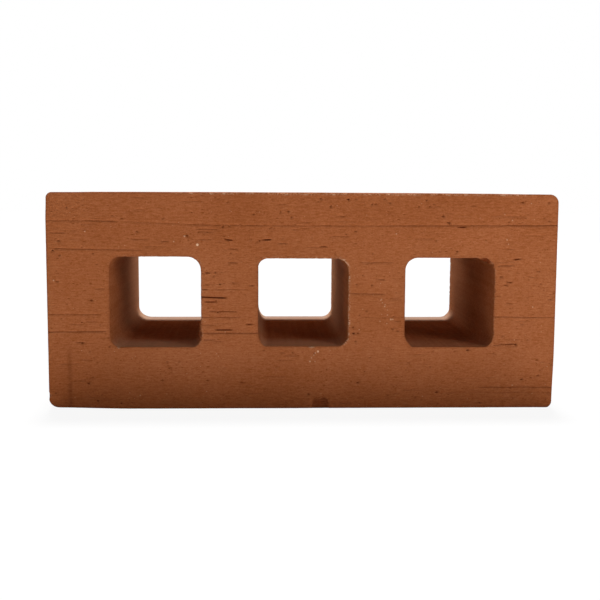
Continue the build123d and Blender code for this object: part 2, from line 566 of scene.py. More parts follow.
def plateau(reach):
    """1 up to the first ring of a small mark, falling to 0 at the second."""
    return np.clip((1 - reach) / (1 - RING_SHARES[0]), 0, 1)


# %% Relief of a scratch
FULLY_DARK = 0.42  # a scratch this deep is dark all along its bottom, with dark clay and painted shade in the groove
LIP_SHARE = 0.25  # height of a lip as a share of the depth
END_FADE = 1.2  # a scratch runs out over this length


def scratch_relief(points, scratch, change):
    """How deep, and how dark, one scratch leaves each point: dark clay of a tear, and painted shade in its
    groove. The change is that of its depth along it.
    """
    x, z = points.T
    is_tear = scratch.depth > TEAR_FROM
    level = scratch_level(scratch, x)
    from_end = np.minimum(x - scratch.left, scratch.right - x)
    # Half of the fading lies beyond the end, so that pieces of one long scratch join without a gap.
    strength = smooth_step(from_end / END_FADE + 0.5) * scratch.depth * (1 + change)
    bottom = groove(z - level, TEAR if is_tear else HAIRLINE)
    raised = lip(z - level) * LIP_SHARE * is_tear
    return strength * (bottom - raised), bottom * np.clip(strength / FULLY_DARK, 0, 1)


# %% Relief of a bite
BITE_SQUARENESS = 6  # 2 would make it an oval, and a high power makes it nearly a rectangle
BITE_SLOPE = 0.5
BITE_EDGE = Unevenness(2.0, 1.0, 0.35)
FURROW_PITCH = 1.0
FURROW_WOBBLE = Unevenness(5, 3, 0.25)
LEFT_FURROWS = 0.3  # depth of the furrows at its left, against those at its right
BETWEEN_FURROWS = 0.4  # depth between two furrows, against what a furrow adds
BITE_DARK = 0.40  # how dark it is between its furrows, and how much more in them: dark clay and painted shade in the hollow
FURROW_DARK = 0.40


def bite_relief(points, bite, seed):
    """How deep, and how dark, a bite out of the foot leaves each point, with painted shade in its hollow.
    Furrows cross its right part.
    """
    x, z = points.T
    across = (x - bite.across) / bite.half_length
    up = (z - bite.up) / bite.half_height
    reach = across**BITE_SQUARENESS + up**BITE_SQUARENESS
    bowl = smooth_step((1 + uneven(points, BITE_EDGE, seed) - reach) / BITE_SLOPE)
    wobble = uneven(points, FURROW_WOBBLE, seed + 2)
    furrows = 0.5 + 0.5 * np.sin(2 * math.pi * (z / FURROW_PITCH + wobble))
    furrows *= LEFT_FURROWS + (1 - LEFT_FURROWS) * smooth_step(across + 0.5)
    return bite.depth * bowl * (BETWEEN_FURROWS + furrows), bowl * (BITE_DARK + FURROW_DARK * furrows)


# %% Relief of a cut face
FACE_SINK = 0.36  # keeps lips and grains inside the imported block
SWELLINGS = Unevenness(60, 30, 0.10)
WIRE_LINES = Unevenness(9, 1.5, 0.05)
DEPTH_CHANGE = Unevenness(5, 50, 0.25)  # of a scratch along its length, as a share of its depth
DARK_PIT = 0.6  # a pit this deep is as dark as can be, with dirt and painted shade in it
GRAIN_RISE = 0.14
WHITE_GRAIN = 0.75  # a grain this big shows the full white of lime, and a smaller one less of it
BAND_START = 6.0  # a band comes in over this height at its bottom
BAND_END = 12.0  # and fades over this one at its top


def face_relief(points, marks, bites, bands, seed):
    """Depth into the clay in mm, how dark, with painted shade in its hollows, and how pale, at points of a
    cut face.
    """
    scratches, pits, grains = marks
    x, z = points.T
    sunk = FACE_SINK + uneven(points, SWELLINGS, seed)
    sunk += uneven(points, WIRE_LINES, seed + 3)
    torn_and_shaded = np.zeros(len(points))
    pale = np.zeros(len(points))
    change = uneven(points, DEPTH_CHANGE, seed + 5)
    for scratch in scratches:
        deeper, darker = scratch_relief(points, scratch, change)
        sunk += deeper
        torn_and_shaded = np.minimum(torn_and_shaded + darker, 1)
    for pit in pits:
        hollow = plateau(np.hypot((x - pit.across) / pit.half_length, (z - pit.up) / PIT_HALF_HEIGHT))
        sunk += pit.depth * hollow
        # A deeper pit is darker: dirt and painted shade in the pit.
        torn_and_shaded = np.maximum(torn_and_shaded, hollow * np.clip(pit.depth / DARK_PIT, 0, 1))
    for grain in grains:
        bead = plateau(np.hypot(x - grain.across, z - grain.up) / grain.size)
        sunk -= GRAIN_RISE * bead
        pale = np.maximum(pale, bead * min(grain.size / WHITE_GRAIN, 1) ** 2)
    for bite in bites:
        deeper, darker = bite_relief(points, bite, seed + 7)
        sunk += deeper
        torn_and_shaded = np.maximum(torn_and_shaded, darker)
    for band in bands:
        beside = smooth_step(1 - np.abs(x - band.across) / band.half_width)
        ends = smooth_step((z - band.bottom) / BAND_START) * smooth_step((band.top - z) / BAND_END)
        torn_and_shaded = np.maximum(torn_and_shaded, band.strength * beside * ends)
    return sunk, torn_and_shaded, pale


# %% [markdown]
# Crumbs are missing where the wire left the clay: along the top of the block,
# along the right side of each hole and, less, along its top. A broken place shows fresh clay, so it is paler.
# A few chips and missing crumbs are placed one by one, as the marks are. The wire also folded some burrs
# of clay back into the holes: a big one at the top right of the right hole, and small ones in the left hole.

# %% Chips and burrs
Chip = namedtuple("Chip", "across up reach depth freshness")
Burr = namedtuple("Burr", "hole across up reach size")

# Where along the top of the block a bigger crumb is missing, in mm from the middle.
CRUMBLED = (-10, -7.5, -5, 1, 3.5, 24.5, 27, 30, 38.5, 40.4, 42.2, 44.0, 46.5, 49, 64.0, 96.0, 100.0)
FRONT_CHIPS = [Chip(across, height, 1.3, 0.45, 0.8) for across in CRUMBLED] + [
    Chip(-115, 6.4, 1.3, 0.95, 0.4),
    Chip(-46.9, 41.0, 1.0, 0.4, 0.8),
    Chip(20.4, 66.0, 1.6, 0.5, 0.8),
    Chip(21.0, 52.6, 1.3, 0.6, 0.8),
    Chip(86.8, 60.5, 0.9, 0.3, 0),
    Chip(86.8, 54.4, 1.0, 0.6, 0),
    Chip(86.8, 51.2, 0.9, 0.45, 0),
    Chip(-81.0, 28.5, 1.6, 0.4, 0.8),
    Chip(3.0, 28.5, 2.2, 0.3, 0.8),
]
BACK_CHIPS = [
    Chip(62, height, 3.0, 0.55, 0.8),
    Chip(-88, 0, 2.4, 1.0, 0.8),
    Chip(-46, 58, 1.6, 0.6, 0.8),
    Chip(46, 40, 1.8, 0.6, 0.8),
]
FRONT_BURRS = [
    Burr("right_hole", 82.3, 69.0, 4.7, 1.5),
    Burr("left_hole", -46.9, 39.0, 1.5, 1.1),
    Burr("left_hole", -46.9, 36.4, 1.7, 0.9),
    Burr("left_hole", -46.9, 33.8, 2.0, 1.3),
]
print("chips and burrs on the front:", len(FRONT_CHIPS), len(FRONT_BURRS))

# %% [markdown]
# Handling and firing soften every edge of the two cuts. The edge is a quarter round whose radius
# changes from point to point along the rail. A Bevel modifier would give it one radius all round.
# Painted shade darkens the rim of an edge, where its round turns away from the light, except where it is
# ragged and shows fresh clay.

# %% Wear of the edges
OUTER_EDGE = 0.45  # radius of an edge of the outside, in mm
HOLE_EDGE = 0.38
EDGE_CHANGE = Unevenness(7, 7, 0.25)  # of that radius, as a share of it
CRUMBS = Unevenness(1.7, 1.7, 1.0)
CRUMB_DEPTH = 0.42
CRUMB_STEEPNESS = 2.0
FRESH_BETWEEN = 0.6  # how fresh the clay looks between two crumbs
HOLE_FRESHNESS = {"left_hole": 0.4, "middle_hole": 1.3, "right_hole": 0.25}  # against the top of the block
CRUMBLE_FROM = -64.0  # the top of the block is ragged from here
CRUMBLE_TO = 108.0
CRUMBLE_FADE = 16.0  # and comes and goes over this length
# Painted shade on the round of an edge.
RIM_PAINTED_SHADE = 0.45
RAGGED_FADE = 2.0  # a rim has lost its darkness where it is half ragged
BURR_FULLNESS = 1.6  # more than 1 gives a burr its full size all over its middle


def edge_wear(rail, chips, seed):
    """Radius of the edge, how far it is worn back, how fresh it looks, and the painted shade of its rim, at
    each point.
    """
    points = rail.points
    crumbs = uneven(points, CRUMBS, seed)
    is_outside = rail.name == "outside"
    radius = (OUTER_EDGE if is_outside else HOLE_EDGE) * (1 + uneven(points, EDGE_CHANGE, seed + 2))
    ragged = rail.ragged
    if is_outside:
        start = smooth_step((points[:, 0] - CRUMBLE_FROM) / CRUMBLE_FADE)
        stop = smooth_step((CRUMBLE_TO - points[:, 0]) / CRUMBLE_FADE)
        ragged = ragged * start * stop
    dark = RIM_PAINTED_SHADE * (1 - np.clip(RAGGED_FADE * ragged, 0, 1))
    worn_back = ragged * CRUMB_DEPTH * np.clip(CRUMB_STEEPNESS * crumbs, 0, 1)
    fresh = ragged * np.clip(FRESH_BETWEEN + crumbs, 0, 1) * HOLE_FRESHNESS.get(rail.name, 1)
    for chip in chips:
        away = np.hypot(points[:, 0] - chip.across, points[:, 1] - chip.up)
        bite = smooth_step(1 - away / chip.reach)
        worn_back += chip.depth * bite
        fresh = np.maximum(fresh, bite * chip.freshness)
    return radius, worn_back, fresh, dark


def burr_size(rail, burrs):
    """How far a burr reaches into a hole at each point of its rail, in mm."""
    size = np.zeros(len(rail.points))
    for burr in burrs:
        if burr.hole == rail.name:
            away = np.hypot(rail.points[:, 0] - burr.across, rail.points[:, 1] - burr.up)
            size += burr.size * smooth_step((1 - away / burr.reach) * BURR_FULLNESS)
    return size


# %% [markdown]
# A strip of faces runs along each rail, from a ring on the front cut, over the front edge,
# down the wall that the die drew, and over the back edge to a ring on the back cut.
# The die leaves fine lines along the walls, so the relief there changes across the rail
# and hardly at all along it. The ribbon also sagged on its belt, so the top is bowed by a hair.

# %% Walls
WALL_SINK = 0.05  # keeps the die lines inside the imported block
FINE_LINES = Unevenness(2.4, 2.4, 0.03)
BROAD_LINES = Unevenness(22, 22, 0.04)
TOP_BOW = 0.25  # how far the ends of the top lie below its middle


def wall_relief(rail, seed):
    """Depth of the die lines into the clay at each point of a rail, in mm."""
    relief = WALL_SINK + uneven(rail.points, FINE_LINES, seed)
    relief += uneven(rail.points, BROAD_LINES, seed + 1)
    if rail.name == "outside":
        is_top = np.clip(-rail.into[:, 1], 0, 1)
        relief += is_top * TOP_BOW * (rail.points[:, 0] / half_length) ** 2
    return relief


# %% [markdown]
# Two pale layers are painted in the holes. Along the back end of each floor lies a band of dust and painted
# sheen, where the key light reaches in. Painted sheen and light lie on the walls, more of it towards the
# back, and on the front part of each floor.

# %% Dust and painted sheen in the holes
SheenBand = namedtuple("SheenBand", "start full wall floor")  # two distances from the front cut, and two shares

HOLE_SHEEN = {
    "left_hole": SheenBand(15, 110, 0.32, 0.36),
    "middle_hole": SheenBand(0, 70, 0.34, 0.28),
    "right_hole": SheenBand(45, 95, 0.14, 0.12),
}
FLOOR_SHEEN_END = 30.0  # the painted sheen on a floor ends this far from the front cut
FLOOR_SHEEN_FADE = 18.0  # and thins out over this length
DUST_AND_SHEEN_REACH = 20.0  # how far the dust and painted sheen come in from the back cut
DUST_AND_SHEEN_FADE = 8.0
DUST_AND_SHEEN_SHARE = 0.70  # how much of the clay it hides


def dust_and_sheen_in_hole(rail, places):
    """How much dust and painted sheen a hole has at each place, from 0 to 1."""
    if rail.name == "outside":
        return np.zeros(len(places))
    is_floor = np.clip(-rail.into[:, 1], 0, 1)
    from_back = depth / 2 - places[:, 1]
    return DUST_AND_SHEEN_SHARE * is_floor * smooth_step((DUST_AND_SHEEN_REACH - from_back) / DUST_AND_SHEEN_FADE)


def painted_sheen_in_hole(rail, places):
    """How much painted sheen and light lies in a hole at each place, from 0 to 1."""
    if rail.name == "outside":
        return np.zeros(len(places))
    sheen = HOLE_SHEEN[rail.name]
    is_wall = np.abs(rail.into[:, 0])
    is_floor = np.clip(-rail.into[:, 1], 0, 1) ** 3  # nothing in the corners
    from_front = places[:, 1] + depth / 2
    on_wall = sheen.wall * smooth_step((from_front - sheen.start) / (sheen.full - sheen.start))
    on_floor = sheen.floor * smooth_step((FLOOR_SHEEN_END - from_front) / FLOOR_SHEEN_FADE)
    return is_wall * on_wall + is_floor * on_floor


# %% [markdown]
# At each end of a strip, rings lie close together over the edge: flat ones on the cut face,
# a quarter round over the arris, and a few down the wall. A ring keeps the looks of its points too.
# Wear moves a ring into the clay, and fades out within a short reach of the edge.
# A burr moves a ring out of the clay, the more so the further down the wall that ring lies.

# %% Rings over an edge
LOOKS = ("cut", "torn_and_shaded", "pale", "fresh", "dust_and_sheen")
EDGE_STEPS = 3  # steps of the quarter round
BAND_SHARES = (1.0, 0.6, 0.25)  # how far out the flat rings lie, from the widest one in
WEAR_REACH = 1.5  # wear fades out this far from the edge
CUT_LOOK_REACH = 0.4  # the look of a cut goes this far down the wall, past the round
RIM_SHADE = 0.20  # painted shade on the band of face beside an edge
BURR_PAINTED_SHADE = 0.95  # painted shade on a folded burr, which hangs in the shadow of the hole
FULL_BURR = 1.5  # a burr this big is shaded all over
BURR_SHADE_STEEPNESS = 2.0
WALL_SEED = 20  # added to the seed of a cut, so that the die lines differ from its wear
Cut = namedtuple("Cut", "side marks bites bands chips burrs seed")

front_cut = Cut(-1, front_marks, FRONT_BITES, FRONT_BANDS, FRONT_CHIPS, FRONT_BURRS, FRONT_SEED)
back_cut = Cut(1, back_marks, [], [], BACK_CHIPS, [], BACK_SEED)


def ring_steps(radius):
    """For each ring of an edge, its distance from the wall line and from the cut face, in mm."""
    nothing = np.zeros(len(radius))
    bands = [radius + (EDGE_BAND - radius) * share for share in BAND_SHARES]
    turns = [math.pi / 2 * step / EDGE_STEPS for step in range(EDGE_STEPS + 1)]
    steps = [(band, nothing) for band in bands]
    steps += [(radius * (1 - math.sin(turn)), radius * (1 - math.cos(turn))) for turn in turns]
    return steps + [(nothing, band) for band in bands[::-1]]


def edge_rings(rail, cut):
    """The rings of one end of a strip, from the cut face over the edge to the wall, with their looks."""
    line = rail.front if cut.side < 0 else rail.points
    radius, worn_back, fresh, dark = edge_wear(rail, cut.chips, cut.seed)
    burr = burr_size(rail, cut.burrs)
    lines = wall_relief(rail, cut.seed + WALL_SEED)
    rings = []
    for inset, behind in ring_steps(radius):
        near_edge = smooth_step(1 - (inset + behind) / WEAR_REACH)
        on_wall = smooth_step(1 - inset / EDGE_BAND)
        moved = inset + worn_back * near_edge - burr * behind / EDGE_BAND + lines * on_wall
        flat = line + rail.into * moved[:, None]
        sunk, torn_and_shaded, pale = face_relief(flat, cut.marks, cut.bites, cut.bands, cut.seed)
        on_face = smooth_step(1 - behind / EDGE_BAND)
        across_wall = cut.side * (depth / 2 - behind - sunk * on_face)
        place = np.stack([flat[:, 0], across_wall, flat[:, 1]], axis=1)
        is_cut = smooth_step(1 - behind / (radius + CUT_LOOK_REACH))
        # Dust and painted sheen where the key light reaches the back of each floor.
        dust_and_sheen = dust_and_sheen_in_hole(rail, place) * (1 - is_cut)
        # Painted shade: the rim and a band of face beside it are darkened where the edge turns from the
        # light.
        rim = RIM_SHADE * smooth_step(1 - inset / EDGE_BAND)
        torn_and_shaded = on_face * np.maximum(torn_and_shaded + rim, dark * smooth_step(behind / radius))
        # Painted shade on a burr that hangs into a hole.
        burr_shade = smooth_step(burr / FULL_BURR) * smooth_step(BURR_SHADE_STEEPNESS * behind / radius)
        torn_and_shaded = np.maximum(torn_and_shaded, BURR_PAINTED_SHADE * burr_shade)
        # Pale is lime grains on a cut face, and painted sheen and light on the walls and floors of a hole.
        pale = np.maximum(pale * on_face, painted_sheen_in_hole(rail, place) * (1 - is_cut))
        looks = [is_cut, torn_and_shaded, pale, fresh * near_edge, dust_and_sheen]
        rings.append((place, np.stack(looks, axis=1)))
    return rings


# %% [markdown]
# Between the two ends a strip needs few rings. The holes have more than the outside,
# because light and lime change along their walls. The wall of a real hole is never quite flat either.

# %% Sweep the rails into strips
OUTER_WALL_STEPS = 6
HOLE_WALL_STEPS = 16
BOW = 0.05  # how far a wall bows into the clay half way, in mm
BOW_CHANGE = Unevenness(30, 30, 1.0)  # of that bow, as a share of it
BOW_SEED = 40
BOW_TRAVEL = 2.0  # how far the noise moves on from the front to the back


def wall_rings(rail, number):
    """The rings between the two ends of a strip. A wall bows into the clay by a hair half way."""
    front_lines = wall_relief(rail, FRONT_SEED + WALL_SEED)
    back_lines = wall_relief(rail, BACK_SEED + WALL_SEED)
    plain = np.zeros(len(rail.points))
    steps = OUTER_WALL_STEPS if rail.name == "outside" else HOLE_WALL_STEPS
    rings = []
    for share in np.arange(1, steps) / steps:
        swell = 1 + uneven(rail.points, BOW_CHANGE, BOW_SEED + number + BOW_TRAVEL * share)
        bow = BOW * swell * math.sin(math.pi * share)
        moved = front_lines * (1 - share) + back_lines * share + bow
        flat = rail.points + rail.into * moved[:, None]
        along = EDGE_BAND - depth / 2 + (depth - 2 * EDGE_BAND) * share
        place = np.stack([flat[:, 0], plain + along, flat[:, 1]], axis=1)
        # The walls carry the painted sheen and light, and the dust and painted sheen, too.
        looks = [plain, plain, painted_sheen_in_hole(rail, place), plain, dust_and_sheen_in_hole(rail, place)]
        rings.append((place, np.stack(looks, axis=1)))
    return rings


def sweep(rail, number):
    """All rings of a rail's strip as two arrays: their places, and the looks at each point."""
    rings = edge_rings(rail, front_cut) + wall_rings(rail, number) + edge_rings(rail, back_cut)[::-1]
    return np.array([place for place, _ in rings]), np.array([looks for _, looks in rings])


strips = [sweep(rail, number) for number, rail in enumerate(rails)]
print("rings in each strip:", [len(places) for places, _ in strips])

# %% [markdown]
# The two cut faces are filled by a constrained Delaunay triangulation: it joins all the points
# into well-shaped triangles and keeps the rings as edges, so the face meets its strips exactly.
# It fills everything within its outermost points. So triangles that lie in a hole, or in a hollow
# outside the worn outer ring, are found and left out.

# %% Faces between the points
INNER = -1  # in place of the number of a rail, for a point that lies on no ring
OUTER = 0  # the number of the rail round the outside
FILL_ALL = 0  # the kind of result asked of the triangulation
SAME_PLACE = 1e-6  # points nearer than this, in mm, count as one


def strip_faces(start, rings, points, is_hole):
    """Four-sided faces between neighbouring rings, turned so that they look out of the clay."""
    ring = np.arange(rings - 1)[:, None] * points + start
    here = np.arange(points)[None, :]
    after = (here + 1) % points
    corners = [ring + here, ring + after, ring + points + after, ring + points + here]
    if not is_hole:
        corners = corners[::-1]
    return np.stack(corners, axis=-1).reshape(-1, 4)


def fill_face(ring_starts, rings, inside, inside_start):
    """Triangles over a cut face, as numbers of mesh vertices, anticlockwise as seen from the front.

    A triangle with all its corners on one ring may lie on either side of it. Anticlockwise triangles
    inside the ring have their corners in the order of the ring, and those outside have them reversed.
    """
    flat = []
    owner = []
    vertex = []
    edges = []
    for number, (start, ring) in enumerate(zip(ring_starts, rings)):
        first = len(flat)
        count = len(ring)
        flat += [Vector(point) for point in ring]
        owner += [number] * count
        vertex += range(start, start + count)
        edges += [(first + step, first + (step + 1) % count) for step in range(count)]
    flat += [Vector(point) for point in inside]
    owner += [INNER] * len(inside)
    vertex += range(inside_start, inside_start + len(inside))
    _, _, faces, came_from, _, _ = geometry.delaunay_2d_cdt(flat, edges, [], FILL_ALL, SAME_PLACE)
    triangles = []
    for face in faces:
        sources = [came_from[corner][0] for corner in face]
        owners = {owner[source] for source in sources}
        lowest = sources.index(min(sources))
        is_inside_ring = sources[lowest - 2] < sources[lowest - 1]
        is_of_one_ring = len(owners) == 1 and INNER not in owners
        if not is_of_one_ring or is_inside_ring == (OUTER in owners):
            triangles.append([vertex[source] for source in sources])
    return triangles


# %% [markdown]
# One closed mesh is made of it all: a list of vertices, strip by strip and then face by face,
# and a list of faces that name vertices by their number. The strips and the faces share their rings,
# so nothing has to be welded. The looks go on as attributes, one value a vertex, for the material to read.

# %% Join everything into one closed mesh
vertices = []
looks = []
quads = []
starts = []
for rail, (places, strip_looks) in zip(rails, strips):
    starts.append(sum(len(part) for part in vertices))
    vertices.append(places.reshape(-1, 3))
    looks.append(strip_looks.reshape(-1, len(LOOKS)))
    quads.append(strip_faces(starts[-1], len(places), len(rail.points), rail.name != "outside"))

triangles = []
for cut, inside in ((front_cut, front_inside), (back_cut, back_inside)):
    sunk, torn_and_shaded, pale = face_relief(inside, cut.marks, cut.bites, cut.bands, cut.seed)
    inside_start = sum(len(part) for part in vertices)
    vertices.append(np.stack([inside[:, 0], cut.side * (depth / 2 - sunk), inside[:, 1]], axis=1))
    nothing = np.zeros(len(inside))
    looks.append(np.stack([nothing + 1, torn_and_shaded, pale, nothing, nothing], axis=1))
    is_front = cut.side < 0
    rings = [places[0 if is_front else -1][:, [0, 2]] for places, _ in strips]
    last_rings = [(len(places) - 1) * places.shape[1] for places, _ in strips]
    ring_starts = starts if is_front else [start + last for start, last in zip(starts, last_rings)]
    filled = fill_face(ring_starts, rings, inside, inside_start)
    triangles += filled if is_front else [face[::-1] for face in filled]

vertices = np.concatenate(vertices)
looks = np.concatenate(looks)
faces = np.concatenate(quads).tolist() + triangles
mesh = bpy.data.meshes.new("fired_clay_block")
mesh.from_pydata((vertices * MM).tolist(), [], faces)
mesh.update()
for column, look in enumerate(LOOKS):
    attribute = mesh.attributes.new(look, "FLOAT", "POINT")
    attribute.data.foreach_set("value", looks[:, column].astype(np.float32))
mesh.shade_smooth()
block = bpy.data.objects.new("fired_clay_block", mesh)
bpy.context.scene.collection.objects.link(block)
print("triangles:", sum(len(face) - 2 for face in faces), "vertices:", len(vertices))

# %% [markdown]
# The colour is mostly the clay itself, so it is built from what makes it up: a red body with slow changes of
# tone, streaks where the wire or the die drew it out, short dark flecks, and a fine sandy grain. Painted
# shade and sheen are laid over it.
# The streaks run along X on the cuts and along Y on the walls, and the "cut" value of the mesh picks
# between them. All patterns use object coordinates in metres, so they look the same from every side.

# %% Helpers for nodes
# The sockets of a Mix node have the same names for numbers and for colours, so they are told by number.
MIX_NUMBER_A = 2
MIX_NUMBER_B = 3
MIX_COLOUR_A = 6
MIX_COLOUR_B = 7
MIX_COLOUR_RESULT = 2


def add_node(tree, kind, inputs=None, **settings):
    """A new shader node, with its settings, and its inputs linked or set."""
    node = tree.nodes.new(kind)
    for name, value in settings.items():
        setattr(node, name, value)
    for socket, value in (inputs or {}).items():
        if isinstance(value, bpy.types.NodeSocket):
            tree.links.new(value, node.inputs[socket])
        else:
            node.inputs[socket].default_value = value
    return node


def mix_colours(tree, share, first, second, mode="MIX"):
    """Blends two colours by a share, as a Mix node in colour mode."""
    inputs = {0: share, MIX_COLOUR_A: first, MIX_COLOUR_B: second}
    node = add_node(tree, "ShaderNodeMix", inputs, data_type="RGBA", blend_type=mode)
    return node.outputs[MIX_COLOUR_RESULT]


def sums(tree, operation, first, second):
    """One step of arithmetic on two values."""
    return add_node(tree, "ShaderNodeMath", {0: first, 1: second}, operation=operation).outputs[0]


def rescale(tree, value, from_low, from_high, to_low=0.0, to_high=1.0):
    """Takes a value from one range to another and holds it there."""
    inputs = {"Value": value, "From Min": from_low, "From Max": from_high}
    inputs |= {"To Min": to_low, "To Max": to_high}
    return add_node(tree, "ShaderNodeMapRange", inputs).outputs[0]


def mesh_value(tree, name):
    """One of the looks that the mesh carries at every point."""
    return add_node(tree, "ShaderNodeAttribute", attribute_name=name).outputs["Fac"]


def tinted(tree, colour, share, strength, tint):
    """Lays a tint over a colour where the share says, up to the strength."""
    return mix_colours(tree, sums(tree, "MULTIPLY", share, strength), colour, tint)


# %% Helpers for patterns
SPOT_CORE = 0.4  # a spot has its full strength up to this share of its size


def stretched(tree, place, scale):
    """Object coordinates counted in grains: scale says how many grains a metre holds along X, Y and Z."""
    return add_node(tree, "ShaderNodeMapping", {"Vector": place, "Scale": scale}).outputs[0]


def cloudy(tree, place, scale, detail=2.0, roughness=0.5):
    """Soft noise from 0 to 1 with its grains as wide as the scale says."""
    inputs = {"Vector": stretched(tree, place, scale), "Scale": 1.0, "Detail": detail, "Roughness": roughness}
    return add_node(tree, "ShaderNodeTexNoise", inputs).outputs["Fac"]


def sprinkled(tree, place, scale, rarity, size):
    """Small separate spots, each of its own strength. Rarity is the share of cells left empty."""
    inputs = {"Vector": stretched(tree, place, scale), "Scale": 1.0}
    cells = add_node(tree, "ShaderNodeTexVoronoi", inputs)
    chances = add_node(tree, "ShaderNodeSeparateColor", {0: cells.outputs["Color"]}).outputs
    chosen = sums(tree, "GREATER_THAN", chances[0], rarity)
    strength = sums(tree, "MULTIPLY", chosen, chances[1])
    spot = rescale(tree, cells.outputs["Distance"], size, size * SPOT_CORE)
    return sums(tree, "MULTIPLY", spot, strength)


# %% [markdown]
# Each pattern below is one thing that shows on the clay. Its scale is the number of grains a metre along
# X, Y and Z, and more of them up than across make a pattern that lies level, as the wire drew it.
# Blender's noise hardly ever leaves the middle half of its range, so that half is spread over the whole.

# %% Tone of the clay
WIRE_STREAKS = (220, 220, 1500)
DIE_STREAKS = (500, 12, 500)
MOTTLING = (420, 420, 1250)
SAND = (1150, 1150, 2100)
STREAK_TONE = 0.10  # how much each pattern lightens or darkens the clay
MOTTLING_TONE = 0.12
SAND_TONE = 0.14
NOISE_LOW = 0.25
NOISE_HIGH = 0.75


def waver(tree, pattern, change):
    """A pattern of noise as a change of tone, up or down by as much as is given."""
    return rescale(tree, pattern, NOISE_LOW, NOISE_HIGH, -change, change)


def body_tone(tree, place, cut):
    """Brightness of the clay: fine sand, soft mottling, and streaks along the wire or the die."""
    wire_streaks = cloudy(tree, place, WIRE_STREAKS, detail=3, roughness=0.6)
    die_streaks = cloudy(tree, place, DIE_STREAKS, detail=3, roughness=0.6)
    inputs = {0: cut, MIX_NUMBER_A: die_streaks, MIX_NUMBER_B: wire_streaks}
    streaks = add_node(tree, "ShaderNodeMix", inputs).outputs[0]
    mottling = cloudy(tree, place, MOTTLING, detail=2, roughness=0.6)
    sand = cloudy(tree, place, SAND, detail=2, roughness=0.75)
    tone = sums(tree, "ADD", waver(tree, streaks, STREAK_TONE), 1.0)
    tone = sums(tree, "ADD", tone, waver(tree, mottling, MOTTLING_TONE))
    tone = sums(tree, "ADD", tone, waver(tree, sand, SAND_TONE))
    return tone, streaks, sand


# %% [markdown]
# Flecks are places where grit darkened the clay. They come in patches, because the grit does.
# On the cuts most of them are short level dashes, and small round dots lie everywhere.

# %% Flecks
Spots = namedtuple("Spots", "scale rarity size")  # rarity is the share of places left empty

PATCHES = (55, 55, 75)
PATCH_EDGE = (0.42, 0.60)  # noise at which a patch begins and is full
DASHES = Spots((420, 420, 1500), 0.78, 0.38)
DOTS = Spots((850, 850, 1300), 0.88, 0.42)
HAIR_LINES = (110, 110, 2100)
HAIR_LINE_EDGE = (0.68, 0.80)
HAIR_LINE_STRENGTH = 0.4
BARE_PATCH = 0.25  # share of the flecks that is left between the patches


def dark_flecks(tree, place, cut):
    """Short level flecks and a few hair lines on the cuts, and small round ones everywhere."""
    patches = rescale(tree, cloudy(tree, place, PATCHES), *PATCH_EDGE, BARE_PATCH, 1.0)
    dashes = sprinkled(tree, place, *DASHES)
    dashes = sums(tree, "MULTIPLY", sums(tree, "MULTIPLY", dashes, patches), cut)
    lines = cloudy(tree, place, HAIR_LINES, detail=1)
    lines = rescale(tree, lines, *HAIR_LINE_EDGE, 0.0, HAIR_LINE_STRENGTH)
    lines = sums(tree, "MULTIPLY", lines, cut)
    dots = sums(tree, "MULTIPLY", sprinkled(tree, place, *DOTS), patches)
    return sums(tree, "MAXIMUM", sums(tree, "MAXIMUM", dashes, lines), dots)


# %% [markdown]
# Painted shade by height: the clay is made darker at the foot, where the block's shadow on the floor leaves
# it less light, and a little darker at the top, and it is lightest half way up. A gradient by height gives
# that.

# %% Painted shade by height
# The tone half way up, where the painted shade is lightest, then the painted shade at the top and at the
# foot.
BODY_TONE = 1.035
TOP_PAINTED_SHADE = 0.955
FOOT_PAINTED_SHADE = 0.86
FOOT_END = 0.024  # metres above the floor
TOP_START = 0.064
TOP_FULL = 0.086


def painted_shade_by_height(tree, place):
    """Painted shade: brightness by height, darker at the foot and a little at the top."""
    up = add_node(tree, "ShaderNodeSeparateXYZ", {0: place}).outputs[2]
    at_top = rescale(tree, up, TOP_START, TOP_FULL, BODY_TONE, TOP_PAINTED_SHADE)
    at_foot = rescale(tree, up, 0.0, FOOT_END, FOOT_PAINTED_SHADE, BODY_TONE)
    return sums(tree, "MINIMUM", at_top, at_foot)


# %% [markdown]
# The material lays one thing over another: the toned body with its painted shade by height, its flecks and
# pale specks, then dust with painted sheen, fresh breaks, dark tears with painted shade, and lime with
# painted sheen, each where its value on the mesh says.
# Crumbled edges look fresh only here and there, so that share is broken up by a fine noise.
# The patterns also raise the surface a little, for relief that is too fine for the mesh.

# %% The fired clay
CLAY = (0.322, 0.103, 0.038, 1)
CLAY_DEEP = (0.288, 0.088, 0.030, 1)
CLAY_STREAK = (0.150, 0.030, 0.005, 1)
# Dark clay of tears and grit, and painted shade in hollows, on rims and on burrs.
CLAY_DARK = (0.075, 0.010, 0.0015, 1)
# Pale lime, and painted sheen and light in the holes.
CLAY_PALE = (0.70, 0.45, 0.28, 1)
CLAY_FRESH = (0.60, 0.36, 0.22, 1)
# Dust with painted sheen, at the back end of each hole floor.
CLAY_DUST_AND_SHEEN = (0.32, 0.245, 0.19, 1)
GREEN_FALL = 1.5
BLUE_FALL = 2.2
SLOW_CHANGE = (28, 28, 40)
SLOW_EDGE = (0.35, 0.65)
SPECKS = Spots((1500, 1500, 1900), 0.992, 0.42)
FRESH_CRUMBS = (1400, 1400, 1700)
FRESH_EDGE = (0.48, 0.56)
# How much of the clay each layer hides where it is at its strongest.
FLECK_COVER = 0.85
SPECK_COVER = 0.4
DUST_AND_SHEEN_COVER = 1.0
FRESH_COVER = 0.8
TORN_AND_SHADE_COVER = 0.88
LIME_AND_SHEEN_COVER = 0.95
ROUGHNESS = (0.88, 0.97)
STREAK_RISE = 0.5  # what each pattern adds to the fine relief
SAND_RISE = 0.7
FLECK_SINK = 0.8
FINE_RELIEF = 0.00018  # height of the fine relief, in metres


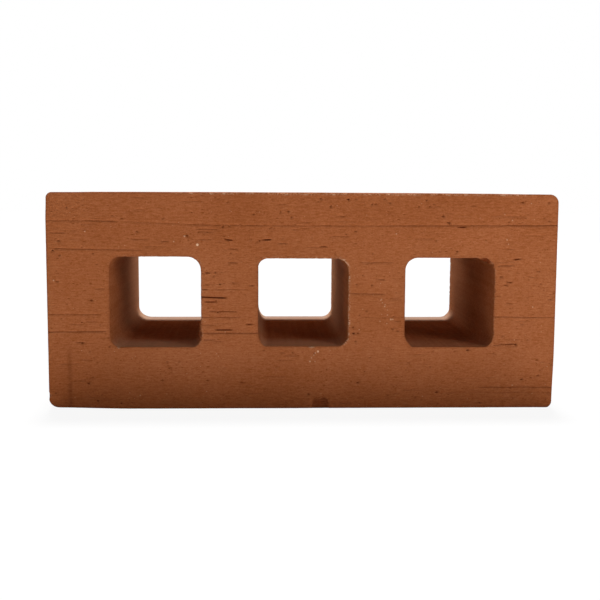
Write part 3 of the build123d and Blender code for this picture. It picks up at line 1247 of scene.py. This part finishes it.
def fired_clay():
    """The one material of the block."""
    material = bpy.data.materials.new("fired_clay")
    material.use_nodes = True
    tree = material.node_tree
    shader = tree.nodes["Principled BSDF"]
    place = add_node(tree, "ShaderNodeTexCoord").outputs["Object"]
    cut = mesh_value(tree, "cut")

    slow = rescale(tree, cloudy(tree, place, SLOW_CHANGE, detail=3), *SLOW_EDGE)
    tone, streaks, sand = body_tone(tree, place, cut)
    # Painted shade by height: darker at the foot and a little darker at the top.
    tone = sums(tree, "MULTIPLY", tone, painted_shade_by_height(tree, place))
    # Darker clay holds more iron, so it is redder too: its green and blue fall faster than its red.
    green_tone = sums(tree, "POWER", tone, GREEN_FALL)
    blue_tone = sums(tree, "POWER", tone, BLUE_FALL)
    tones = add_node(tree, "ShaderNodeCombineColor", {0: tone, 1: green_tone, 2: blue_tone}).outputs[0]
    colour = mix_colours(tree, 1.0, mix_colours(tree, slow, CLAY_DEEP, CLAY), tones, "MULTIPLY")

    flecks = dark_flecks(tree, place, cut)
    specks = sprinkled(tree, place, *SPECKS)
    crumbs = rescale(tree, cloudy(tree, place, FRESH_CRUMBS), *FRESH_EDGE)
    fresh = sums(tree, "MULTIPLY", mesh_value(tree, "fresh"), crumbs)
    colour = tinted(tree, colour, flecks, FLECK_COVER, CLAY_STREAK)
    colour = tinted(tree, colour, specks, SPECK_COVER, CLAY_PALE)
    # Painted sheen lies in the dust and the lime layer, and painted shade in the dark one.
    colour = tinted(tree, colour, mesh_value(tree, "dust_and_sheen"), DUST_AND_SHEEN_COVER, CLAY_DUST_AND_SHEEN)
    colour = tinted(tree, colour, fresh, FRESH_COVER, CLAY_FRESH)
    colour = tinted(tree, colour, mesh_value(tree, "torn_and_shaded"), TORN_AND_SHADE_COVER, CLAY_DARK)
    colour = tinted(tree, colour, mesh_value(tree, "pale"), LIME_AND_SHEEN_COVER, CLAY_PALE)
    tree.links.new(colour, shader.inputs["Base Color"])

    # Bare fired clay is porous and has no gloss, so nothing is mirrored in it.
    shader.inputs["Specular IOR Level"].default_value = 0.0
    roughness = rescale(tree, sand, NOISE_LOW, NOISE_HIGH, *ROUGHNESS)
    tree.links.new(roughness, shader.inputs["Roughness"])
    streak_rise = sums(tree, "MULTIPLY", streaks, STREAK_RISE)
    relief = sums(tree, "ADD", streak_rise, sums(tree, "MULTIPLY", sand, SAND_RISE))
    relief = sums(tree, "SUBTRACT", relief, sums(tree, "MULTIPLY", flecks, FLECK_SINK))
    bump_inputs = {"Height": relief, "Strength": 1.0, "Distance": FINE_RELIEF}
    bump = add_node(tree, "ShaderNodeBump", bump_inputs)
    tree.links.new(bump.outputs[0], shader.inputs["Normal"])
    return material


mesh.materials.append(fired_clay())
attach(block, "root")
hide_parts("block")
print("nodes in the clay:", len(mesh.materials[0].node_tree.nodes))

# %% [markdown]
# The block stands on a plain pale floor. To the camera the floor and the world are white,
# and a small share of the floor's own shading is kept, so that the block still has its shadow.
# To every other ray the floor is pale paint, and the light it throws back helps to light the cuts.

# %% Floor and world
FLOOR_SIZE = 8.0  # metres
FLOOR_WHITE = 0.90
FLOOR_GLOW = 0.98  # how white the camera sees it
SHADOW_SHARE = 0.07  # share of the floor's own shading that the camera sees
SKY_LEVEL = 0.05  # light of the world on the block


def pale_floor():
    """Pale paint that looks almost white to the camera."""
    material = bpy.data.materials.new("pale_floor")
    material.use_nodes = True
    tree = material.node_tree
    tree.nodes.remove(tree.nodes["Principled BSDF"])
    paint = add_node(tree, "ShaderNodeBsdfDiffuse", {"Color": (FLOOR_WHITE,) * 3 + (1,)})
    glow = add_node(tree, "ShaderNodeEmission", {"Color": (1, 1, 1, 1), "Strength": FLOOR_GLOW})
    to_camera = add_node(tree, "ShaderNodeLightPath").outputs["Is Camera Ray"]
    share = sums(tree, "MULTIPLY", to_camera, 1 - SHADOW_SHARE)
    both = add_node(tree, "ShaderNodeMixShader", {0: share, 1: paint.outputs[0], 2: glow.outputs[0]})
    tree.links.new(both.outputs[0], tree.nodes["Material Output"].inputs["Surface"])
    return material


floor_mesh = bpy.data.meshes.new("floor")
floor_signs = ((-1, -1), (1, -1), (1, 1), (-1, 1))
floor_corners = [(x * FLOOR_SIZE / 2, y * FLOOR_SIZE / 2, 0) for x, y in floor_signs]
floor_mesh.from_pydata(floor_corners, [], [(0, 1, 2, 3)])
floor_mesh.materials.append(pale_floor())
floor = bpy.data.objects.new("floor", floor_mesh)
bpy.context.scene.collection.objects.link(floor)

world = bpy.data.worlds.new("studio")
world.use_nodes = True
bpy.context.scene.world = world
sky_tree = world.node_tree
sky = sky_tree.nodes["Background"]
sky.inputs["Color"].default_value = (1, 1, 1, 1)
rays = add_node(sky_tree, "ShaderNodeLightPath").outputs
seen = sums(sky_tree, "MAXIMUM", rays["Is Camera Ray"], rays["Is Glossy Ray"])
seen = sums(sky_tree, "MAXIMUM", seen, rays["Is Transmission Ray"])
sky_tree.links.new(rescale(sky_tree, seen, 0, 1, SKY_LEVEL, 1.0), sky.inputs["Strength"])
print("floor in metres:", FLOOR_SIZE, "light of the world:", SKY_LEVEL)

# %% [markdown]
# A lamp's level is said here as how bright it makes a white card that faces it at the block: 1 is white.
# A sun gives a card its strength divided by pi. A lamp that is small for its distance gives its watts
# divided by pi squared and by the square of its distance.
# The key is a soft sun high up and a little behind: its shadow falls forward,
# so the foot of the front darkens, and it lights the far ends of the holes.
# A small lamp near the right lifts that side, and a wide low one behind shines along the hole walls.

# %% Lamps
SoftLamp = namedtuple("SoftLamp", "place width tall level")

KEY_LEVEL = 1.49
KEY_BEHIND = 17.6  # degrees from straight above, towards the back
KEY_SPREAD = 12.0
SOFT_LAMPS = {
    "right_fill": SoftLamp((0.5, -0.6, 0.3), 0.3, 0.3, 0.32),
    "left_fill": SoftLamp((-1.3, -1.5, 0.9), 1.4, 1.4, 0.06),
    "back_light": SoftLamp((0, 1.4, 0.3), 3.0, 0.5, 0.82),
}


def place_lamp(lamp, place, target):
    """Puts a lamp at its place, turned so that it shines at a point."""
    lamp_object = bpy.data.objects.new(lamp.name, lamp)
    lamp_object.location = place
    look = Vector(target) - Vector(place)
    lamp_object.rotation_euler = look.to_track_quat("-Z", "Y").to_euler()
    bpy.context.scene.collection.objects.link(lamp_object)
    return look.length


key = bpy.data.lights.new("key", "SUN")
key.energy = KEY_LEVEL * math.pi
key.angle = math.radians(KEY_SPREAD)
place_lamp(key, (0, math.tan(math.radians(KEY_BEHIND)), 1), (0, 0, 0))

block_middle = (0, 0, middle_height * MM)
for name, soft in SOFT_LAMPS.items():
    lamp = bpy.data.lights.new(name, "AREA")
    lamp.shape = "RECTANGLE"
    lamp.size = soft.width
    lamp.size_y = soft.tall
    distance = place_lamp(lamp, soft.place, block_middle)
    lamp.energy = soft.level * math.pi**2 * distance**2
    print(name, "watts:", round(lamp.energy, 2))

# %% [markdown]
# The camera stands a little left of the middle, level with the top of the block, and looks slightly down.
# Its lens and place were fitted to the edges of the block, and are given here as real distances and angles.

# %% Camera
EYE = (-19.8, -502.2, 98.7)  # mm from the middle of the underside
LENS = 59.90  # focal length and width of the sensor, in mm
SENSOR = 36.0
TURN_RIGHT = 2.306  # degrees, and so the next two
LOOK_DOWN = 6.229
ROLL = 0.290

turn, down, roll = (math.radians(angle) for angle in (TURN_RIGHT, LOOK_DOWN, ROLL))
ahead = Vector((math.sin(turn) * math.cos(down), math.cos(turn) * math.cos(down), -math.sin(down)))
right = Vector((math.cos(turn), -math.sin(turn), 0))
up = right.cross(ahead)
rolled_right = right * math.cos(roll) + up * math.sin(roll)
rolled_up = up * math.cos(roll) - right * math.sin(roll)
camera_data = bpy.data.cameras.new("camera")
camera_data.lens = LENS
camera_data.sensor_width = SENSOR
camera = bpy.data.objects.new("camera", camera_data)
axes = Matrix((rolled_right, rolled_up, -ahead)).transposed()
camera.matrix_world = Matrix.Translation(Vector(EYE) * MM) @ axes.to_4x4()
bpy.context.scene.collection.objects.link(camera)
bpy.context.scene.camera = camera
bpy.context.scene.view_settings.view_transform = "Standard"
print("the camera sees an angle of", round(math.degrees(camera_data.angle), 1), "degrees")
